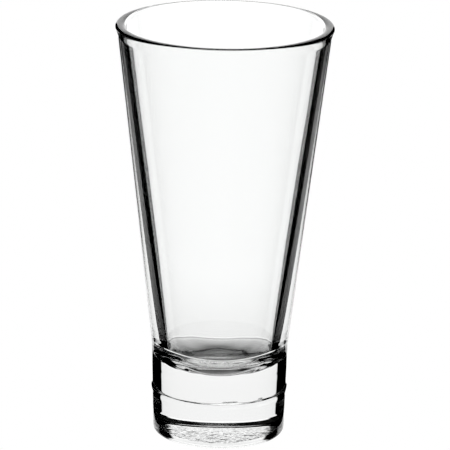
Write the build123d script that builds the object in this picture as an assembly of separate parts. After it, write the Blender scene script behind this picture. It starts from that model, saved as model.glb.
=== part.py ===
"""Clear pint glass: a tall flared bowl that stands on a solid cylindrical base.

The real glass is pressed in one piece, so the model is one solid in one node, "glass".
Its origin is the centre of the underside, on the surface it stands on; +Z runs up the axis.
The half section is drawn in the XZ plane, where X is the radius, and turned about Z.
"""

import os
from math import radians, tan

from build123d import *

# Outside
HEIGHT = 178.5
SHOULDER_HEIGHT = 40.0
SHOULDER_RADIUS = 29.1
SHOULDER_BLEND = 3.0
FOOT_RADIUS = 28.0
HEEL_ROUND = 2.2
BRIM_RADIUS = 45.3

# Bowl
BRIM_WALL = 3.6
SHOULDER_WALL = 6.3
FLOOR_HEIGHT = 30.2
FLOOR_CORNER_ROUND = 10.0

# Fire-polished lip: a bead that swells outwards above a soft neck
NECK_DROP = 4.8
NECK_BLEND = 3.0
BEAD_FLANK_ANGLE = 18.0
LIP_OUTER_ROUND = 1.3
LIP_INNER_ROUND = 2.3

# Mould seam round the middle of the base: a long faint swell that steps back in above its crest
SEAM_HEIGHT = 20.1
SEAM_BELOW = 3.2
SEAM_ABOVE = 1.2
SEAM_PROUD = 0.4
SEAM_ROUND = 0.8

# Underside: a flat bearing ring round a shallow domed recess
RECESS_RADIUS = 21.0
RECESS_DEPTH = 1.2


def base_radius(z):
    """Outer radius of the slightly tapered base at height z."""
    return FOOT_RADIUS + (SHOULDER_RADIUS - FOOT_RADIUS) * z / SHOULDER_HEIGHT


def bowl_radius(z):
    """Outer radius of the flared bowl at height z."""
    flare = (BRIM_RADIUS - SHOULDER_RADIUS) / (HEIGHT - SHOULDER_HEIGHT)
    return SHOULDER_RADIUS + flare * (z - SHOULDER_HEIGHT)


def cavity_radius(z):
    """Inner radius of the bowl at height z; the wall thins steadily towards the brim."""
    thinning = (SHOULDER_WALL - BRIM_WALL) / (HEIGHT - SHOULDER_HEIGHT)
    wall = SHOULDER_WALL - thinning * (z - SHOULDER_HEIGHT)
    return bowl_radius(z) - wall


def underside():
    """Domed recess from the axis out to the bearing ring, then the ring itself."""
    dome_radius = (RECESS_RADIUS**2 + RECESS_DEPTH**2) / (2 * RECESS_DEPTH)
    dome = RadiusArc((0, RECESS_DEPTH), (RECESS_RADIUS, 0), dome_radius)
    ring = Line((RECESS_RADIUS, 0), (FOOT_RADIUS, 0))
    return [dome, ring]


def seam_corners():
    """Start of the seam's swell, its crest and the top of the step above it."""
    low = SEAM_HEIGHT - SEAM_BELOW
    high = SEAM_HEIGHT + SEAM_ABOVE
    crest = (base_radius(SEAM_HEIGHT) + SEAM_PROUD, SEAM_HEIGHT)
    return (base_radius(low), low), crest, (base_radius(high), high)


def bowl_corners():
    """Sharp corners of the bowl and its lip, from the shoulder round to the floor's centre."""
    neck_height = HEIGHT - NECK_DROP
    neck = (bowl_radius(neck_height), neck_height)
    bead_edge = (neck[0] + NECK_DROP * tan(radians(BEAD_FLANK_ANGLE)), HEIGHT)
    mouth_edge = (cavity_radius(HEIGHT), HEIGHT)
    floor_corner = (cavity_radius(FLOOR_HEIGHT), FLOOR_HEIGHT)
    floor_centre = (0, FLOOR_HEIGHT)
    return neck, bead_edge, mouth_edge, floor_corner, floor_centre


def half_section():
    """Closed half section of the glass with every soft corner rounded."""
    foot = (FOOT_RADIUS, 0)
    shoulder = (SHOULDER_RADIUS, SHOULDER_HEIGHT)
    seam_foot, seam_crest, seam_top = seam_corners()
    neck, bead_edge, mouth_edge, floor_corner, floor_centre = bowl_corners()
    base_side = Polyline(foot, seam_foot, seam_crest, seam_top, shoulder)
    bowl = Polyline(shoulder, neck, bead_edge, mouth_edge, floor_corner, floor_centre)
    axis_line = Line(floor_centre, (0, RECESS_DEPTH))
    outline = Wire(underside() + base_side.edges() + bowl.edges() + [axis_line])
    section = Face(outline)
    rounds = [
        (foot, HEEL_ROUND),
        (seam_crest, SEAM_ROUND),
        (shoulder, SHOULDER_BLEND),
        (neck, NECK_BLEND),
        (bead_edge, LIP_OUTER_ROUND),
        (mouth_edge, LIP_INNER_ROUND),
        (floor_corner, FLOOR_CORNER_ROUND),
    ]
    for corner, radius in rounds:
        vertex = section.vertices().sort_by_distance(corner)[0]
        section = section.fillet_2d(radius, [vertex])
    return section


def glass():
    """The whole tumbler as one solid of revolution."""
    return revolve(Plane.XZ * half_section(), Axis.Z)


os.makedirs("parts", exist_ok=True)
export_step(glass(), "parts/glass.step")
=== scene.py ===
"""Looks of the clear pint glass: one lathe-turned piece of real glass in a bright-field studio.

Lengths are millimetres in the CAD's own frame and become metres once, when a mesh is built.
+Z is the axis of the glass, z = 0 is the surface it stands on and -Y is its front.
"""

from math import pi, radians, tan

import bpy
import numpy as np
from mathutils import Matrix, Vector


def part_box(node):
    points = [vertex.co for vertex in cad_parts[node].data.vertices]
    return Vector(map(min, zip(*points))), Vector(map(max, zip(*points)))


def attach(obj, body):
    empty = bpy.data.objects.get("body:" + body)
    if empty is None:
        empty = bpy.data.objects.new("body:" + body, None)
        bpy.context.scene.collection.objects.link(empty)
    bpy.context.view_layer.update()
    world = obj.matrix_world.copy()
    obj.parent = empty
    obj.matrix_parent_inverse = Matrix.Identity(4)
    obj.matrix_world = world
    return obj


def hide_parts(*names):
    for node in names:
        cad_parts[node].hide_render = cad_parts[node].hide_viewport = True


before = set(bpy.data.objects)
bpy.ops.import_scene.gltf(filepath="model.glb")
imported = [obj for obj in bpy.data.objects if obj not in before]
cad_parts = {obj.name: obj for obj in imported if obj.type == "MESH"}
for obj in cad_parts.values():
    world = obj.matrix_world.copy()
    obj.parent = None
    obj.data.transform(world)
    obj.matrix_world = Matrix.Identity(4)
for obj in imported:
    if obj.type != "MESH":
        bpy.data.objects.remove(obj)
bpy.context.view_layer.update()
glass_low, glass_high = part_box("glass")

MM = 0.001
SIDES = 512
TURN = np.arange(SIDES) * 2 * pi / SIDES
TOWARDS_BACK = np.sin(TURN)

# Outside
HEIGHT = (glass_high[2] - glass_low[2]) / MM
SHOULDER_HEIGHT = 40.0
SHOULDER_RADIUS = 29.1
SHOULDER_BLEND = 3.0
FOOT_RADIUS = 28.0
HEEL_ROUND = 2.2
BRIM_RADIUS = 45.3

# Bowl: the floor's corner is tighter at the back than at the sides and the front
BRIM_WALL = 3.6
SHOULDER_WALL = 6.3
FLOOR_HEIGHT = 30.2
BACK_CORNER_ROUND = 4.3
SIDE_CORNER_GAIN = 5.0
FRONT_CORNER_GAIN = 5.6

# Fine groove round the bowl where the wall meets the floor's corner
CREASE_DEPTH = 0.16
CREASE_WIDTH = 0.28
CREASE_ZONE = 1.5

# Waves left in the floor: length, direction in degrees, phase, height
FLOOR_WAVES = [(15.0, 84, 0.4, 0.15), (6.5, 95, 2.1, 0.12)]
WAVES_FADE = (33.0, 40.0)

# Lip
NECK_DROP = 4.8
NECK_BLEND = 3.0
BEAD_FLANK_ANGLE = 18.0
LIP_OUTER_ROUND = 1.3
LIP_INNER_ROUND = 2.3

# Mould seam round the base: a long faint swell below its crest and a short step above it,
# plain at the front and almost polished away at the back
SEAM_HEIGHT = 20.1
SEAM_ABOVE = 1.2
SEAM_BELOW = 3.2
SEAM_PROUD = 0.5
SEAM_PROUD_BACK = 0.03
SEAM_SWAY = 0.12
SEAM_UNEVEN = 0.2
SEAM_WORN = (-0.2, 0.6)
SEAM_NOISE_CELL = 4.0
SEAM_NOISE_SEED = 3

# Underside: bearing ring round a shallow dome with a stippled face
RECESS_RADIUS = 21.0
RECESS_DEPTH = 1.2
STIPPLE_RADIUS = 16.2
STIPPLES = [(0.8, 0.1), (2.2, 0.12)]
STIPPLE_EDGE = 1.0
NOISE_LATTICE = 256

# Stations round each rounded corner of the section
HEEL_ARC = 24
BLEND_ARC = 16
LIP_ARC = 32
FLOOR_ARC = 60

# Stations along the dome and each side of the seam, then along the straight runs: bearing ring and
# base side for the foot; base side, outer wall, bead flank, lip top, inner wall, groove and floor
# for the bowl. The last ring of the floor stops just off the axis.
DOME_STATIONS = 60
SEAM_STATIONS = 16
FOOT_SPANS = [16, 24]
BOWL_SPANS = [24, 80, 4, 2, 80, 12, 40]
LAST_RING = 0.3


def base_radius(z):
    """Outer radius of the slightly tapered base at height z."""
    return FOOT_RADIUS + (SHOULDER_RADIUS - FOOT_RADIUS) * z / SHOULDER_HEIGHT


def bowl_radius(z):
    """Outer radius of the flared bowl at height z."""
    flare = (BRIM_RADIUS - SHOULDER_RADIUS) / (HEIGHT - SHOULDER_HEIGHT)
    return SHOULDER_RADIUS + flare * (z - SHOULDER_HEIGHT)


def cavity_radius(z):
    """Inner radius of the bowl at height z; the wall thins steadily towards the brim."""
    thinning = (SHOULDER_WALL - BRIM_WALL) / (HEIGHT - SHOULDER_HEIGHT)
    return bowl_radius(z) - SHOULDER_WALL + thinning * (z - SHOULDER_HEIGHT)


def ease(value, start, end):
    """Smooth step from 0 at start to 1 at end."""
    t = np.clip((value - start) / (end - start), 0, 1)
    return t * t * (3 - 2 * t)


def value_noise(x, y, cell, seed):
    """Smooth random heights in -1..1 over a plane, one random value per cell corner."""
    random = np.random.default_rng(seed)
    lattice = random.uniform(-1, 1, (NOISE_LATTICE, NOISE_LATTICE))
    u = x / cell + NOISE_LATTICE / 2
    v = y / cell + NOISE_LATTICE / 2
    i = np.floor(u).astype(int)
    j = np.floor(v).astype(int)
    a = ease(u - i, 0, 1)
    b = ease(v - j, 0, 1)
    low = lattice[i, j] * (1 - a) + lattice[i + 1, j] * a
    high = lattice[i, j + 1] * (1 - a) + lattice[i + 1, j + 1] * a
    return low * (1 - b) + high * b


def unit(vectors):
    """The same directions with length one."""
    return vectors / np.linalg.norm(vectors, axis=-1, keepdims=True)


def at(radius, height):
    """One profile point for every side of the lathe."""
    radii = np.broadcast_to(radius, SIDES)
    heights = np.broadcast_to(height, SIDES)
    return np.stack([radii, heights], axis=-1)


def span(start, end, count):
    """Points on a straight run from start towards end, without the end itself."""
    steps = np.linspace(0, 1, count, endpoint=False)[:, None, None]
    return start + (end - start) * steps


def rounding(before, corner, after, radius, count):
    """Points on the arc of this radius that rounds a corner, ends included."""
    to_before = unit(before - corner)
    to_after = unit(after - corner)
    cosine = np.sum(to_before * to_after, axis=-1, keepdims=True)
    half = np.arccos(np.clip(cosine, -1, 1)) / 2
    centre = corner + unit(to_before + to_after) * radius / np.sin(half)
    start = corner + to_before * radius / np.tan(half) - centre
    end = corner + to_after * radius / np.tan(half) - centre
    sweep = pi - 2 * half
    steps = np.linspace(0, 1, count)[:, None, None]
    arc = (np.sin((1 - steps) * sweep) * start + np.sin(steps * sweep) * end) / np.sin(sweep)
    return centre + arc


def outline(corners, spans):
    """Outline through (point, radius, arc count) corners, one span count per straight run."""
    runs = []
    last = corners[0][0]
    for index in range(1, len(corners)):
        point, radius, count = corners[index]
        if count:
            arc = rounding(corners[index - 1][0], point, corners[index + 1][0], radius, count)
            runs.append(span(last, arc[0], spans[index - 1]))
            runs.append(arc[:-1])
            last = arc[-1]
        else:
            runs.append(span(last, point, spans[index - 1]))
            last = point
    runs.append(last[None])
    return np.concatenate(runs)


def dome_stations():
    """Shallow dome of the underside, from just off the axis out to the bearing ring."""
    dome_radius = (RECESS_RADIUS**2 + RECESS_DEPTH**2) / (2 * RECESS_DEPTH)
    reach = np.linspace(0, RECESS_RADIUS, DOME_STATIONS, endpoint=False)[1:]
    rise = RECESS_DEPTH - dome_radius + np.sqrt(dome_radius**2 - reach**2)
    return np.stack([at(radius, height) for radius, height in zip(reach, rise)])


def foot_stations():
    """Bearing ring, rounded heel and the side of the base up to the seam."""
    seam_foot = SEAM_HEIGHT - SEAM_BELOW
    return outline(
        [
            (at(RECESS_RADIUS, 0.0), 0, 0),
            (at(FOOT_RADIUS, 0.0), HEEL_ROUND, HEEL_ARC),
            (at(base_radius(seam_foot), seam_foot), 0, 0),
        ],
        FOOT_SPANS,
    )


def seam_stations():
    """Rounded ridge of the mould seam, uneven in height and in how proud it stands."""
    sway = value_noise(TURN * SHOULDER_RADIUS, np.zeros(SIDES), SEAM_NOISE_CELL, SEAM_NOISE_SEED)
    fresh = 1 - ease(TOWARDS_BACK, *SEAM_WORN)
    proud = SEAM_PROUD_BACK + (SEAM_PROUD - SEAM_PROUD_BACK) * fresh * (1 + SEAM_UNEVEN * sway)
    below = np.linspace(-SEAM_BELOW, 0, SEAM_STATIONS)[1:-1]
    above = np.linspace(0, SEAM_ABOVE, SEAM_STATIONS)[:-1]
    stations = []
    for offset in np.concatenate([below, above]):
        height = SEAM_HEIGHT + offset
        swell = ease(offset, -SEAM_BELOW, 0) * (1 - ease(offset, 0, SEAM_ABOVE))
        stations.append(at(base_radius(height) + proud * swell, height + SEAM_SWAY * sway))
    return np.stack(stations)


def corner_rounds():
    """Radius of the floor's corner for every side of the lathe."""
    sides = 1 - TOWARDS_BACK**2
    front = ((1 - TOWARDS_BACK) / 2) ** 2
    return BACK_CORNER_ROUND + SIDE_CORNER_GAIN * sides + FRONT_CORNER_GAIN * front


def corner_start(corner_round):
    """Height where the straight wall gives way to the floor's corner."""
    lean = (cavity_radius(HEIGHT) - cavity_radius(FLOOR_HEIGHT)) / (HEIGHT - FLOOR_HEIGHT)
    return FLOOR_HEIGHT + corner_round * (np.sqrt(1 + lean**2) - lean)


def bowl_stations():
    """Everything above the seam: shoulder, wall, lip, inner wall and the floor."""
    seam_top = SEAM_HEIGHT + SEAM_ABOVE
    neck_height = HEIGHT - NECK_DROP
    neck = at(bowl_radius(neck_height), neck_height)
    bead = at(bowl_radius(neck_height) + NECK_DROP * tan(radians(BEAD_FLANK_ANGLE)), HEIGHT)
    mouth = at(cavity_radius(HEIGHT), HEIGHT)
    corner_round = corner_rounds()
    crease = corner_start(corner_round) + CREASE_ZONE
    corner = at(cavity_radius(FLOOR_HEIGHT), FLOOR_HEIGHT)
    return outline(
        [
            (at(base_radius(seam_top), seam_top), 0, 0),
            (at(SHOULDER_RADIUS, SHOULDER_HEIGHT), SHOULDER_BLEND, BLEND_ARC),
            (neck, NECK_BLEND, BLEND_ARC),
            (bead, LIP_OUTER_ROUND, LIP_ARC),
            (mouth, LIP_INNER_ROUND, LIP_ARC),
            (at(cavity_radius(crease), crease), 0, 0),
            (corner, corner_round[:, None], FLOOR_ARC),
            (at(LAST_RING, FLOOR_HEIGHT), 0, 0),
        ],
        BOWL_SPANS,
    )


def inner_side(stations):
    """True for the second half of the stations: the lip and the inside of the bowl."""
    return np.arange(len(stations))[:, None] > len(stations) // 2


def relief(points, stations):
    """Height changes that break the turned shape: the stippled underside and the wavy floor."""
    x, y, z = np.moveaxis(points, -1, 0)
    radius = stations[..., 0]
    station = np.arange(len(stations))[:, None]
    below = (station < DOME_STATIONS) * (1 - ease(radius, STIPPLE_RADIUS - STIPPLE_EDGE, STIPPLE_RADIUS))
    stipple = 0
    for seed, (cell, height) in enumerate(STIPPLES):
        stipple = stipple + height * value_noise(x, y, cell, seed)
    inside = inner_side(stations) * (1 - ease(z, *WAVES_FADE))
    waves = 0
    for length, angle, phase, height in FLOOR_WAVES:
        along = x * np.cos(radians(angle)) + y * np.sin(radians(angle))
        waves = waves + height * np.sin(2 * pi * along / length + phase)
    return stipple * below + waves * inside


def profile():
    """Half section for every side of the lathe: array of (station, side, radius-and-height)."""
    stations = np.concatenate([dome_stations(), foot_stations(), seam_stations(), bowl_stations()])
    off_crease = (stations[..., 1] - corner_start(corner_rounds())) / CREASE_WIDTH
    stations[..., 0] += inner_side(stations) * CREASE_DEPTH * np.exp(-(off_crease**2))
    return stations


def lathe(name, stations, bottom, top):
    """Closed mesh through the stations, with a single pole vertex at each end of the axis."""
    radius, height = stations[..., 0], stations[..., 1]
    points = np.stack([radius * np.cos(TURN), radius * np.sin(TURN), height], axis=-1)
    points[..., 2] += relief(points, stations)
    poles = [[0, 0, bottom], [0, 0, top]]
    points = np.concatenate([points.reshape(-1, 3), poles]) * MM
    ring = np.arange(SIDES)
    after = (ring + 1) % SIDES
    starts = np.arange(len(stations) - 1)[:, None] * SIDES
    quad = [starts + ring, starts + after, starts + SIDES + after, starts + SIDES + ring]
    quads = np.stack(quad, axis=-1).reshape(-1, 4)
    foot_pole = len(stations) * SIDES
    last = foot_pole - SIDES
    foot_fan = np.stack([np.full(SIDES, foot_pole), after, ring], axis=-1)
    floor_fan = np.stack([last + ring, last + after, np.full(SIDES, foot_pole + 1)], axis=-1)
    mesh = bpy.data.meshes.new(name)
    faces = quads.tolist() + foot_fan.tolist() + floor_fan.tolist()
    mesh.from_pydata(points.tolist(), [], faces)
    mesh.shade_smooth()
    piece = bpy.data.objects.new(name, mesh)
    bpy.context.collection.objects.link(piece)
    return piece


# Sockets of a mix node whose names repeat: the two numbers, then the two colours
MIX_NUMBERS = (2, 3)
MIX_COLOURS = (6, 7)


class Graph:
    """Short hand for chains of shader nodes."""

    def __init__(self, tree):
        self.tree = tree

    def node(self, kind, **settings):
        """New node of this kind with its settings."""
        node = self.tree.nodes.new(kind)
        for name, value in settings.items():
            setattr(node, name, value)
        return node

    def feed(self, socket, value):
        """Link an output to the socket, or set its value."""
        if isinstance(value, bpy.types.NodeSocket):
            self.tree.links.new(value, socket)
        else:
            socket.default_value = value

    def split(self, vector):
        """The x, y and z outputs of a vector."""
        node = self.node("ShaderNodeSeparateXYZ")
        self.feed(node.inputs[0], vector)
        return node.outputs

    def noise(self, place, scale, detail):
        """Soft noise in 0..1 with this many cells per metre."""
        node = self.node("ShaderNodeTexNoise")
        self.feed(node.inputs["Vector"], place)
        self.feed(node.inputs["Scale"], scale)
        self.feed(node.inputs["Detail"], detail)
        return node.outputs["Fac"]

    def math(self, operation, *values):
        """One math operation on its values."""
        node = self.node("ShaderNodeMath", operation=operation)
        for socket, value in zip(node.inputs, values):
            self.feed(socket, value)
        return node.outputs[0]

    def fade(self, value, start, end, low=0.0, high=1.0):
        """Smooth change from low to high while the value goes from start to end."""
        node = self.node("ShaderNodeMapRange", interpolation_type="SMOOTHSTEP")
        for socket, item in zip(node.inputs, (value, start, end, low, high)):
            self.feed(socket, item)
        return node.outputs[0]

    def curve(self, value, points):
        """Piecewise-linear function of a value through (x, y) points, x and y in 0..1."""
        node = self.node("ShaderNodeFloatCurve")
        self.feed(node.inputs["Value"], value)
        line = node.mapping.curves[0]
        for x, y in points[1:-1]:
            line.points.new(x, y)
        line.points[0].location = points[0]
        line.points[-1].location = points[-1]
        for point in line.points:
            point.handle_type = "VECTOR"
        node.mapping.update()
        return node.outputs[0]

    def mix(self, share, a, b):
        """a where share is 0, b where it is 1."""
        node = self.node("ShaderNodeMix", data_type="FLOAT")
        self.feed(node.inputs[0], share)
        self.feed(node.inputs[MIX_NUMBERS[0]], a)
        self.feed(node.inputs[MIX_NUMBERS[1]], b)
        return node.outputs[0]


# Surface of the glass: lowest and highest roughness of each zone, then the zones' limits
POLISH = (0.0, 0.01)
FROST = (0.15, 0.4)
SCUFF = (0.0, 0.25)
UNDERSIDE_TOP = (1.5, 2.0)
FROST_EDGE = 0.5
SCUFF_TOP = (0.1, 0.5)

# Noise values between which each zone goes from its lowest to its highest roughness
FROST_SPREAD = (0.35, 0.65)
SCUFF_SPREAD = (0.5, 0.7)
POLISH_SPREAD = (0.3, 0.7)

# Grain of each noise in cells per metre, its detail, and the fire-polished ripples along the wall
FROST_GRAIN = 1300.0
SCUFF_GRAIN = 900.0
POLISH_GRAIN = 25.0
TINT_GRAIN = 12.0
RIPPLE_GRAIN = 160.0
PLAIN_DETAIL = 1.0
SOFT_DETAIL = 2.0
ROUGH_DETAIL = 4.0
RIPPLE_STRETCH = (1.0, 1.0, 0.12)
RIPPLE_HEIGHT = 0.006

# Soda-lime glass and the two ends of its faint tint
GLASS_IOR = 1.52
TINT_CLEAR = (0.99, 0.992, 0.99, 1)
TINT_GREEN = (0.98, 0.988, 0.984, 1)


def glass_roughness(g, place):
    """Polished wall, scuffed bearing ring and frosted stipple inside it."""
    x, y, z = g.split(place)
    radius = g.math("SQRT", g.math("ADD", g.math("POWER", x, 2.0), g.math("POWER", y, 2.0)))
    low = g.fade(z, UNDERSIDE_TOP[0] * MM, UNDERSIDE_TOP[1] * MM, 1.0, 0.0)
    inner = (STIPPLE_RADIUS - FROST_EDGE) * MM
    outer = (STIPPLE_RADIUS + FROST_EDGE) * MM
    frosted = g.math("MULTIPLY", low, g.fade(radius, inner, outer, 1.0, 0.0))
    on_ring = g.fade(z, SCUFF_TOP[0] * MM, SCUFF_TOP[1] * MM, 1.0, 0.0)
    frost = g.fade(g.noise(place, FROST_GRAIN, SOFT_DETAIL), *FROST_SPREAD, *FROST)
    scuff = g.fade(g.noise(place, SCUFF_GRAIN, ROUGH_DETAIL), *SCUFF_SPREAD, *SCUFF)
    polish = g.fade(g.noise(place, POLISH_GRAIN, SOFT_DETAIL), *POLISH_SPREAD, *POLISH)
    return g.mix(frosted, g.mix(on_ring, polish, scuff), frost)


def glass_ripples(g, place):
    """Normal of the faint ripples that run up a fire-polished wall."""
    stretch = g.node("ShaderNodeVectorMath", operation="MULTIPLY")
    g.feed(stretch.inputs[0], place)
    g.feed(stretch.inputs[1], RIPPLE_STRETCH)
    bump = g.node("ShaderNodeBump")
    g.feed(bump.inputs["Height"], g.noise(stretch.outputs[0], RIPPLE_GRAIN, PLAIN_DETAIL))
    g.feed(bump.inputs["Distance"], RIPPLE_HEIGHT * MM)
    return bump.outputs[0]


def glass_material():
    """Clear soda-lime glass: frosted underside, scuffed bearing ring, faint ripples and tint."""
    material = bpy.data.materials.new("clear_glass")
    material.use_nodes = True
    g = Graph(material.node_tree)
    surface = g.tree.nodes["Principled BSDF"]
    place = g.node("ShaderNodeTexCoord").outputs["Object"]
    g.feed(surface.inputs["Roughness"], glass_roughness(g, place))
    g.feed(surface.inputs["Normal"], glass_ripples(g, place))

    tint = g.node("ShaderNodeMix", data_type="RGBA")
    g.feed(tint.inputs["Factor"], g.noise(place, TINT_GRAIN, PLAIN_DETAIL))
    g.feed(tint.inputs[MIX_COLOURS[0]], TINT_CLEAR)
    g.feed(tint.inputs[MIX_COLOURS[1]], TINT_GREEN)
    g.feed(surface.inputs["Base Color"], tint.outputs[2])
    g.feed(surface.inputs["IOR"], GLASS_IOR)
    g.feed(surface.inputs["Transmission Weight"], 1.0)
    return material


def studio_rig(camera):
    """Empty at the origin whose +Y axis points away from the camera, level with the floor."""
    rig = bpy.data.objects.new("studio_rig", None)
    bpy.context.collection.objects.link(rig)
    follow = rig.constraints.new("LOCKED_TRACK")
    follow.target = camera
    follow.track_axis = "TRACK_NEGATIVE_Y"
    follow.lock_axis = "LOCK_Z"
    return rig


# Light of the studio as the glass sees it, by direction: azimuth from straight behind the glass
# and elevation, both in degrees. White behind and below, black flags at the sides.
BLACK = 0.002
BACKDROP = 1.17
FRONT = 0.03
BACKDROP_SIDE = (49.0, 52.0)
UPPER_SIDE = (36.0, 42.0)
UPPER_FALL = (25.0, 70.0)
UPPER_LEAST = 0.05
DOWNWARDS = (-75.0, -55.0)
FRONT_START = (98.0, 112.0)


def studio_world(rig):
    """Bright-field light: plain white to the camera, shaped backdrop to every other ray."""
    world = bpy.data.worlds.new("studio")
    bpy.context.scene.world = world
    world.use_nodes = True
    tree = world.node_tree
    tree.nodes.clear()
    g = Graph(tree)
    direction = g.node("ShaderNodeTexCoord", object=rig).outputs["Object"]
    x, y, z = g.split(direction)
    azimuth = g.math("DEGREES", g.math("ARCTAN2", g.math("ABSOLUTE", x), y))
    elevation = g.math("DEGREES", g.math("ARCSINE", z))
    lower = g.fade(azimuth, *BACKDROP_SIDE, 1.0, BLACK)
    upper = g.fade(azimuth, *UPPER_SIDE, 1.0, BLACK)
    upper = g.math("MULTIPLY", upper, g.fade(elevation, *UPPER_FALL, 1.0, UPPER_LEAST))
    light = g.mix(g.math("GREATER_THAN", elevation, 0.0), lower, upper)
    light = g.math("MAXIMUM", light, g.fade(elevation, *DOWNWARDS, 1.0, 0.0))
    light = g.math("MAXIMUM", light, g.fade(azimuth, *FRONT_START, 0.0, FRONT))
    light = g.math("MULTIPLY", light, BACKDROP)
    path = g.node("ShaderNodeLightPath")
    shade = g.node("ShaderNodeBackground")
    g.feed(shade.inputs["Color"], (1, 1, 1, 1))
    g.feed(shade.inputs["Strength"], g.mix(path.outputs["Is Camera Ray"], light, 1.0))
    out = g.node("ShaderNodeOutputWorld")
    g.feed(out.inputs["Surface"], shade.outputs[0])


# Black cards at both sides, in millimetres in the frame of the studio rig: distance from the axis,
# front edge, and back edge as (y, z) points. The tall flags stand outside the low strips.
FLAG_OUT = 50.0
FLAG_FRONT = -15.0
FLAG_EDGE = [
    (30, 0.5),
    (30, 12),
    (31, 23),
    (33, 26),
    (36, 29),
    (38, 35),
    (43, 66),
    (40, 100),
    (32, 134),
    (30, 150),
    (26, 174),
    (19, 179),
    (17, 184),
]
STRIP_OUT = 35.0
STRIP_FRONT = -60.0
STRIP_EDGE = [(30, 0.5), (30, 18), (15, 29), (0, 34)]


def card_material():
    """Matt black of the studio cards."""
    material = bpy.data.materials.new("studio_card")
    material.use_nodes = True
    tree = material.node_tree
    tree.nodes.clear()
    g = Graph(tree)
    shade = g.node("ShaderNodeEmission")
    g.feed(shade.inputs["Strength"], BLACK)
    out = g.node("ShaderNodeOutputMaterial")
    g.feed(out.inputs["Surface"], shade.outputs[0])
    return material


def black_card(name, rig, x, front, edge, material):
    """Upright card at this x from its front edge back to the shaped one, unseen by the camera."""
    points = [(x * MM, y * MM, z * MM) for y, z in edge]
    points += [(x * MM, front * MM, z * MM) for y, z in edge]
    count = len(edge)
    faces = [(i, i + 1, count + i + 1, count + i) for i in range(count - 1)]
    mesh = bpy.data.meshes.new(name)
    mesh.from_pydata(points, [], faces)
    mesh.materials.append(material)
    card = bpy.data.objects.new(name, mesh)
    bpy.context.collection.objects.link(card)
    card.parent = rig
    card.visible_camera = False


# Pale floor, white to the camera. Near the glass a painted shadow of the glass lets less light up at
# steep angles:
# share of light against the sine of the angle, then the distances over which that painted shadow and the
# plain painted shade fade out. The half width and the distances are in metres.
FLOOR_HALF_WIDTH = 20.0
FLOOR_STEEP = [(0, 1), (0.4, 1), (0.53, 0.68), (0.72, 0.48), (1, 0.15)]
FLOOR_NEAR = (0.09, 0.17)
FLOOR_SHADE = (0.07, 0.22)
FLOOR_LEAST = 0.85


def floor_material():
    """White to the camera; other rays pass through it, dimmed by a painted shadow of the glass, to the
    backdrop below.
    """
    material = bpy.data.materials.new("pale_floor")
    material.use_nodes = True
    tree = material.node_tree
    tree.nodes.clear()
    g = Graph(tree)
    place = g.node("ShaderNodeTexCoord").outputs["Object"]
    reach = g.node("ShaderNodeVectorMath", operation="LENGTH")
    g.feed(reach.inputs[0], place)
    distance = reach.outputs["Value"]
    incoming = g.split(g.node("ShaderNodeNewGeometry").outputs["Incoming"])
    # painted shadow of the glass on the floor: less light passes near the glass, least at steep angles,
    # and a plain painted shade fades out further off
    steep = g.curve(g.math("ABSOLUTE", incoming["Z"]), FLOOR_STEEP)
    near = g.fade(distance, *FLOOR_NEAR, 1.0, 0.0)
    shade = g.fade(distance, *FLOOR_SHADE, FLOOR_LEAST, 1.0)
    share = g.math("MULTIPLY", g.mix(near, 1.0, steep), shade)
    # the painted shadow becomes the colour of the rays that pass through the floor
    tint = g.node("ShaderNodeCombineColor")
    for socket in tint.inputs:
        g.feed(socket, share)
    clear = g.node("ShaderNodeBsdfTransparent")
    g.feed(clear.inputs["Color"], tint.outputs[0])
    white = g.node("ShaderNodeEmission")
    path = g.node("ShaderNodeLightPath")
    choose = g.node("ShaderNodeMixShader")
    g.feed(choose.inputs[0], path.outputs["Is Camera Ray"])
    g.feed(choose.inputs[1], clear.outputs[0])
    g.feed(choose.inputs[2], white.outputs[0])
    out = g.node("ShaderNodeOutputMaterial")
    g.feed(out.inputs["Surface"], choose.outputs[0])
    return material


def floor():
    """Wide plain floor under the glass."""
    corners = [(-1, -1), (1, -1), (1, 1), (-1, 1)]
    points = [(x * FLOOR_HALF_WIDTH, y * FLOOR_HALF_WIDTH, 0) for x, y in corners]
    mesh = bpy.data.meshes.new("floor")
    mesh.from_pydata(points, [], [(0, 1, 2, 3)])
    mesh.materials.append(floor_material())
    plane = bpy.data.objects.new("floor", mesh)
    bpy.context.collection.objects.link(plane)


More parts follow.
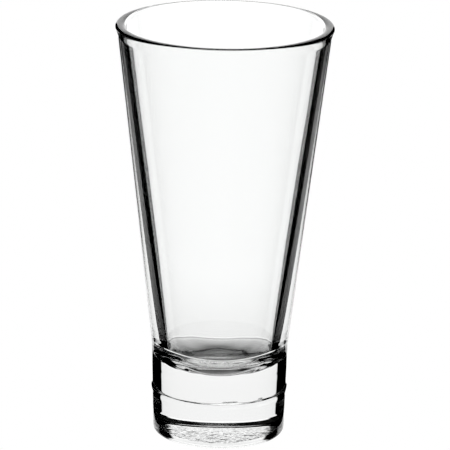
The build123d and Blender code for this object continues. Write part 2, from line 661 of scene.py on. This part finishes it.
# Camera: place in millimetres, turns in degrees
CAMERA_PLACE = (0.0, -1518.75, 536.89)
CAMERA_DOWN = 16.3574
CAMERA_TURN = -0.0523
CAMERA_ROLL = 0.9782
CAMERA_LENS = 298.9
CAMERA_SENSOR = 36.0


def camera():
    """Long lens in front of the glass, looking slightly down on it."""
    data = bpy.data.cameras.new("camera")
    data.lens = CAMERA_LENS
    data.sensor_width = CAMERA_SENSOR
    data.clip_end = 2 * FLOOR_HALF_WIDTH
    holder = bpy.data.objects.new("camera", data)
    bpy.context.collection.objects.link(holder)
    turn = Matrix.Rotation(radians(CAMERA_TURN), 4, "Z")
    tilt = Matrix.Rotation(radians(90 - CAMERA_DOWN), 4, "X")
    roll = Matrix.Rotation(radians(CAMERA_ROLL), 4, "Z")
    place = Matrix.Translation([value * MM for value in CAMERA_PLACE])
    holder.matrix_world = place @ turn @ tilt @ roll
    bpy.context.scene.camera = holder
    return holder


# Contrast of the picture: scene value against shown value
TONE = [(0.012, 0.0), (0.15, 0.115), (0.5, 0.5)]
BOUNCES = 24


def picture_settings():
    """Plain colours with slightly deeper blacks, and enough bounces for thick glass."""
    scene = bpy.context.scene
    scene.view_settings.view_transform = "Standard"
    scene.view_settings.look = "None"
    scene.view_settings.use_curve_mapping = True
    mapping = scene.view_settings.curve_mapping
    for value, shown in TONE:
        mapping.curves[3].points.new(value, shown)
    mapping.update()
    scene.cycles.max_bounces = BOUNCES
    scene.cycles.transmission_bounces = BOUNCES
    scene.cycles.transparent_max_bounces = BOUNCES
    scene.cycles.glossy_bounces = BOUNCES // 2


piece = lathe("glass_body", profile(), RECESS_DEPTH, FLOOR_HEIGHT)
piece.data.materials.append(glass_material())
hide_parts("glass")
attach(piece, "root")

rig = studio_rig(camera())
studio_world(rig)
cards = card_material()
for word, side in (("left", -1), ("right", 1)):
    black_card("flag_" + word, rig, side * FLAG_OUT, FLAG_FRONT, FLAG_EDGE, cards)
    black_card("strip_" + word, rig, side * STRIP_OUT, STRIP_FRONT, STRIP_EDGE, cards)
floor()
picture_settings()
